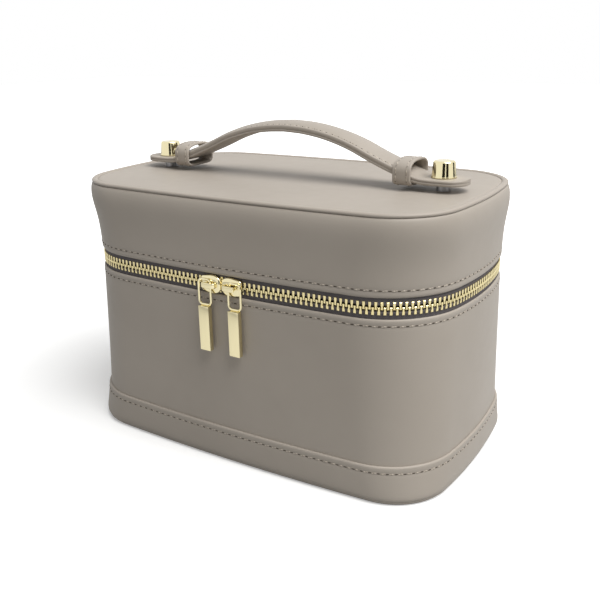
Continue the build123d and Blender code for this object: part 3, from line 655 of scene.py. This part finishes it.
def strapFrame(x):  # where the underside is, which way the strap runs and which way is up from it
    def under(at):
        return between(strap["underside"], abs(at))[0]
    along = Vector((2.0, 0, under(x + 1) - under(x - 1))).normalized()
    return Vector((x, 0, strap["tabUnder"] + under(x))), along, Vector((-along.z, 0, along.x))


def strapHalf(x):
    past = abs(x) - (strap["halfLength"] - strap["endRound"])
    if past <= 0:
        return strap["halfWidth"]
    return strap["halfWidth"] - strap["endRound"] + math.sqrt(max(strap["endRound"] ** 2 - past**2, 0.0))


def strapPad(x):  # 1 on the padded arch, 0 on the flat tabs
    share = min(1.0, max(0.0, (strap["flatFrom"] - abs(x)) / (strap["flatFrom"] - strap["fullTo"])))
    return share * share * (3 - 2 * share)


def strapTopSection(x):
    half, pad = strapHalf(x), strapPad(x)
    edge = strap["flatEdge"] + pad * (strap["archEdge"] - strap["flatEdge"])
    crown = strap["flatCrown"] + pad * (strap["archCrown"] - strap["flatCrown"])
    low = strap["layer"] + strap["seam"]
    right = [(half - 0.15, low), (half, low + 0.25)]
    right += [(half - inwards, edge + up) for inwards, up in strap["rim"]]
    right += [(half * share, edge + up * pad) for share, up in strap["groove"]]
    right += [(half * share, edge + crown * up) for share, up in strap["dome"]]
    return right + [(0.0, edge + crown)] + [(-y, z) for y, z in reversed(right)]


def strapBottomSection(x):
    half, layer = strapHalf(x), strap["layer"]
    right = [(half - 0.6, 0.0), (half - 0.15, 0.15), (half, 0.5), (half, layer - 0.3), (half - 0.15, layer)]
    return right + [(-y, z) for y, z in reversed(right)]


endStart = strap["halfLength"] - strap["endRound"]
endAngles = (12, 24, 36, 48, 58, 67, 75, 81, 86)
stations = [k * 2.5 for k in range(37)]
stations += [endStart + strap["endRound"] * math.sin(math.radians(angle)) for angle in endAngles]
strapStations = sorted({round(side * x, 3) for side in (-1, 1) for x in stations})


def strapPiece(name, section, replaced):
    bm = bmesh.new()
    loops = []
    for x in strapStations:
        where, along, up = strapFrame(x)
        loops.append([where + Vector((0, y, 0)) + up * z for y, z in section(x)])
    loftLoops(bm, loops)
    return finishPiece(bm, name, strapLeather, "lid", replaced, sharp=55)


handleTop = strapPiece("handlePaddedTop", strapTopSection, ["handle_top"])
strapPiece("handleLiningLayer", strapBottomSection, ["handle_bottom"])

strapStitch = dict(stitch, pitch=3.6, length=2.8, width=0.7, hole=0.7)
for sideName, side in (("Front", -1), ("Back", 1)):
    line = []
    for k in range(-strap["stitchTo"], strap["stitchTo"] + 1):
        where, along, up = strapFrame(float(k))
        edge = strap["flatEdge"] + strapPad(k) * (strap["archEdge"] - strap["flatEdge"])
        line.append(where + Vector((0, side * (strapHalf(k) - strap["stitchIn"]), 0)) + up * edge)
    places = []
    for where, along, far in walkAlong(line, strapStitch["pitch"], closed=False):
        outward = along.cross(Vector((0, 1, 0))) * -1
        places.append((where, along, outward.normalized()))
    stitchRow("handleStitches" + sideName, places, "lid", strapStitch)
print("handle ready")

# Keepers: narrow leather loops that hold the strap down where the arch ends
keeper = {"x": 69.2, "width": 9.6, "thick": 1.3, "round": 0.5, "halfSpan": 11.25, "low": 146.55,
          "high": 158.15, "waist": 151.8, "topPower": 2.9, "lowPower": 5.0, "points": 240, "step": 0.8,
          "stitchFromEdge": 1.9, "stitchSunk": 0.02}


def keeperLine(side):
    points = []
    for k in range(keeper["points"]):
        angle = math.tau * k / keeper["points"]
        c, s = math.cos(angle), math.sin(angle)
        power = 2 / (keeper["topPower"] if s > 0 else keeper["lowPower"])
        rise = keeper["high"] - keeper["waist"] if s > 0 else keeper["waist"] - keeper["low"]
        points.append(Vector((side * keeper["x"], math.copysign(abs(c) ** power, c) * keeper["halfSpan"],
                              keeper["waist"] + math.copysign(abs(s) ** power, s) * rise)))
    return points


def keeperPiece(name, side, replaced):
    bm = bmesh.new()
    loops = []
    section = roundedSection(keeper["width"] / 2, keeper["thick"] / 2, keeper["round"])
    for where, heading, far in walkAlong(keeperLine(side), keeper["step"]):
        outward = heading.cross(Vector((1, 0, 0))).normalized()
        loops.append([where + Vector((1, 0, 0)) * a + outward * b for a, b in section])
    loftLoops(bm, loops, joinEnds=True)
    finishPiece(bm, name, strapLeather, "lid", replaced, sharp=55)
    for rowName, shift in (("Outer", 1), ("Inner", -1)):
        places = []
        for where, heading, far in walkAlong(keeperLine(side), strapStitch["pitch"]):
            outward = heading.cross(Vector((1, 0, 0))).normalized()
            offset = side * shift * (keeper["width"] / 2 - keeper["stitchFromEdge"])
            raised = outward * (keeper["thick"] / 2 - keeper["stitchSunk"])
            places.append((where + Vector((offset, 0, 0)) + raised, heading, outward))
        stitchRow(name + "Stitches" + rowName, places, "lid", strapStitch)


keeperPiece("leftKeeper", -1, ["left_keeper"])
keeperPiece("rightKeeper", 1, ["right_keeper"])

# Knobs: turned and plated, with a small foot and a soft chamfer at the top
knob = {"x": 87.0, "base": 150.05,
        "profile": [(0.0, 8.36), (4.3, 8.36), (4.75, 8.32), (5.05, 8.18), (5.38, 7.82), (5.5, 7.45),
                    (6.05, 1.2), (6.1, 0.9), (6.3, 0.75), (6.38, 0.45), (6.3, 0.1), (6.15, 0.0), (0.0, 0.0)]}


def knobPiece(name, side, replaced):
    bm = bmesh.new()
    verts = [bm.verts.new((side * knob["x"] + r, 0, knob["base"] + z)) for r, z in knob["profile"]]
    line = [bm.edges.new((a, b)) for a, b in zip(verts, verts[1:])]
    bmesh.ops.spin(bm, geom=verts + line, cent=(side * knob["x"], 0, 0), axis=(0, 0, 1), angle=math.tau,
                   steps=56, use_merge=True)
    finishPiece(bm, name, polishedGold, "lid", replaced, sharp=28)


knobPiece("leftKnob", -1, ["left_knob"])
knobPiece("rightKnob", 1, ["right_knob"])
print("keepers and knobs ready")

# Lining: microfibre on the walls, and padded panels in the floor and the lid
innerLining = {
    "body": [(-1.8, 94.0), (-2.0, 94.5), (-2.6, 94.6), (-3.6, 94.6), (-4.2, 94.45), (-4.4, 94.0),
             (-4.4, 75.0), (-4.4, 50.0), (-4.4, 20.5), (-4.4, 10.0), (-4.4, 3.4), (-3.9, 3.4), (-3.9, 20.5),
             (-3.9, 60.0), (-3.9, 93.8)],
    "lid": [(-1.8, 105.5), (-2.0, 105.0), (-2.6, 104.9), (-3.6, 104.9), (-4.2, 105.05), (-4.4, 105.5),
            (-4.4, 119.9), (-4.4, 128.0), (-4.4, 133.5), (-4.4, 136.6), (-3.9, 136.6), (-3.9, 119.9),
            (-3.9, 105.7)],
    "floorTop": 5.8, "ceiling": 136.1,
    "panel": [(-4.45, -1.9), (-4.45, -1.2), (-4.8, -0.6), (-5.8, -0.22), (-8.0, -0.05), (-12.0, 0.0),
              (-17.0, 0.0), (-22.0, 0.0)],  # in from the wall, down from the panel's face
    "faceDepth": 0.3,
}
wallPiece("bodyLining", bodyLevels, innerLining["body"], "case", ["body_lining"], liningMaterial)
wallPiece("lidWallLining", lidLevels, innerLining["lid"], "lid", ["lid_wall_lining"], liningMaterial)


def linedPanel(name, levels, face, way, body, replaced):  # way is 1 for the floor, -1 for the lid's ceiling
    bm = bmesh.new()
    loops = []
    for push, drop in innerLining["panel"]:
        loops.append([Vector((p.x, p.y, face + way * drop)) for p in wallRing(levels, face, push)])
    loftLoops(bm, loops, cap=False)
    bmesh.ops.holes_fill(bm, edges=bm.edges, sides=0)
    bmesh.ops.triangulate(bm, faces=[one for one in bm.faces if len(one.verts) > 4])
    panel = finishPiece(bm, name, liningMaterial, body, replaced)
    bm = bmesh.new()
    bm.from_mesh(panel.data)
    turned = [one for one in bm.faces if way * one.normal.z < 0
              and way * (one.calc_center_median().z * 1000 - face) > -innerLining["faceDepth"]]
    bmesh.ops.reverse_faces(bm, faces=turned)  # the flat middle always looks into the case
    bm.to_mesh(panel.data)
    bm.free()


linedPanel("floorPanel", bodyLevels, innerLining["floorTop"], 1, "case", ["floor_lining", "floor_pad"])
linedPanel("lidPanel", lidLevels, innerLining["ceiling"], -1, "lid", ["lid_top_lining", "lid_lining_pad"])

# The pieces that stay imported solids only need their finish
keptFinish = {
    "base_board": greyBoard, "body_wall_board": greyBoard, "lid_wall_board": greyBoard,
    "lid_top_board": greyBoard,
    "body_foam": whiteFoam, "lid_foam": whiteFoam, "lid_top_foam": whiteFoam, "handle_core": whiteFoam,
    "left_screw": zincSteel, "right_screw": zincSteel, "screw_washers": zincSteel, "tab_collars": zincSteel,
}
for nodeName, material in keptFinish.items():
    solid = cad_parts[nodeName]
    solid.data.materials.clear()
    solid.data.materials.append(material)
print("lining ready")

# Camera at the photograph's place
photoCamera = {"place": (0.22697, -0.36255, 0.21829), "around": 31.754, "above": 18.904, "roll": -0.947,
               "lens": 46.77, "sensor": 36.0}
cameraData = bpy.data.cameras.new("photoCamera")
cameraData.lens = photoCamera["lens"]
cameraData.sensor_width = photoCamera["sensor"]
cameraData.clip_start, cameraData.clip_end = 0.01, 50.0
camera = bpy.data.objects.new("photoCamera", cameraData)
bpy.context.scene.collection.objects.link(camera)
aim = Matrix.Rotation(math.radians(photoCamera["around"]), 4, "Z")
aim = aim @ Matrix.Rotation(math.radians(90 - photoCamera["above"]), 4, "X")
aim = aim @ Matrix.Rotation(math.radians(photoCamera["roll"]), 4, "Z")
camera.matrix_world = Matrix.Translation(photoCamera["place"]) @ aim
bpy.context.scene.camera = camera

# Studio: a big soft lamp above right, an even world that looks white, three black flags and a floor of
# pale paper. To the camera the floor glows, a little near the case and fully further away, so that it
# runs into the white behind. Light that bounces off it meets a greyer paper.
studio = {"world": 0.34, "lampWay": (0.50, -0.10, 0.86), "lampFar": 1.6, "lampSize": 1.3, "lampPower": 29.5,
          "lampAimHeight": 0.07, "floorColour": "#EDEDEC", "floorBounce": "#A6A6A5", "floorGlow": 0.3,
          "fadeFrom": 0.2, "fadeTo": 0.7, "floorSize": 6.0, "cardShade": "#1A1815"}
world = bpy.data.worlds.new("studio")
bpy.context.scene.world = world
world.use_nodes = True
tree = world.node_tree
tree.nodes.clear()
light = addNode(tree, "Background", {"Color": toLinear("#FFFFFF"), "Strength": studio["world"]})
backdrop = addNode(tree, "Background", {"Color": toLinear("#FFFFFF"), "Strength": 1.0})
rays = addNode(tree, "LightPath")
seen = addNode(tree, "Math", {"operation": "MAXIMUM"},
               {0: rays.outputs["Is Camera Ray"], 1: rays.outputs["Is Glossy Ray"]})
seen = addNode(tree, "Math", {"operation": "MAXIMUM"},
               {0: seen.outputs[0], 1: rays.outputs["Is Transmission Ray"]})
mixed = addNode(tree, "MixShader", {}, {0: seen.outputs[0], 1: light.outputs[0], 2: backdrop.outputs[0]})
addNode(tree, "OutputWorld", {}, {"Surface": mixed.outputs[0]})

lampData = bpy.data.lights.new("softLamp", "AREA")
lampData.shape = "DISK"
lampData.size = studio["lampSize"]
lampData.energy = studio["lampPower"]
lamp = bpy.data.objects.new("softLamp", lampData)
lampWay = Vector(studio["lampWay"]).normalized()
lamp.location = lampWay * studio["lampFar"] + Vector((0, 0, studio["lampAimHeight"]))
lamp.rotation_euler = lampWay.to_track_quat("Z", "Y").to_euler()
bpy.context.scene.collection.objects.link(lamp)

bm = bmesh.new()
bmesh.ops.create_grid(bm, x_segments=8, y_segments=8, size=studio["floorSize"] / 2 * 1000)
# Matt studio paper
floorMaterial, tree, shader, place = startMaterial("paperSweep", studio["floorColour"], 0.9)
rays = addNode(tree, "LightPath")
seen = addNode(tree, "Math", {"operation": "MAXIMUM"},
               {0: rays.outputs["Is Camera Ray"], 1: rays.outputs["Is Glossy Ray"]})
paper = addNode(tree, "Mix", {"data_type": "RGBA", 6: toLinear(studio["floorBounce"]),
                              7: toLinear(studio["floorColour"])}, {0: seen.outputs[0]})
away = addNode(tree, "VectorMath", {"operation": "LENGTH"}, {0: place})
fade = addNode(tree, "MapRange", {"From Min": studio["fadeFrom"], "From Max": studio["fadeTo"],
                                  "To Min": studio["floorGlow"], "To Max": 1.0},
               {"Value": away.outputs["Value"]})
glow = addNode(tree, "Math", {"operation": "MULTIPLY"},
               {0: rays.outputs["Is Camera Ray"], 1: fade.outputs["Result"]})
tree.links.new(paper.outputs[2], shader.inputs["Base Color"])
shader.inputs["Emission Color"].default_value = toLinear("#FFFFFF")
tree.links.new(glow.outputs[0], shader.inputs["Emission Strength"])
floor = finishPiece(bm, "floor", floorMaterial, None)


# Black studio flags, seen only in the metal's reflections
cardMaterial, tree, shader, place = startMaterial("blackFlag", studio["cardShade"], 1.0)


def darkCard(name, where, facing, wide, high):
    bm = bmesh.new()
    bmesh.ops.create_grid(bm, x_segments=1, y_segments=1, size=500)
    bmesh.ops.scale(bm, vec=(wide, high, 1), verts=bm.verts)
    turn = Vector(facing).to_track_quat("Z", "Y").to_matrix()
    bmesh.ops.rotate(bm, matrix=turn, verts=bm.verts)
    bmesh.ops.translate(bm, vec=Vector(where) * 1000, verts=bm.verts)
    card = finishPiece(bm, name, cardMaterial, None)
    for ray in ("camera", "diffuse", "shadow", "transmission", "volume_scatter"):
        setattr(card, "visible_" + ray, False)


darkCard("flagByCamera", (0.30, -0.72, 0.31), (-0.4, 0.9, 0.0), 0.36, 0.6)
darkCard("flagRightOfCamera", (0.66, -0.46, 0.31), (-0.8, 0.6, 0.0), 0.30, 0.6)
darkCard("flagBackRight", (1.1, 0.75, 0.3), (-0.8, -0.55, -0.1), 0.5, 0.8)
print("studio ready")

bpy.context.scene.view_settings.view_transform = "Standard"
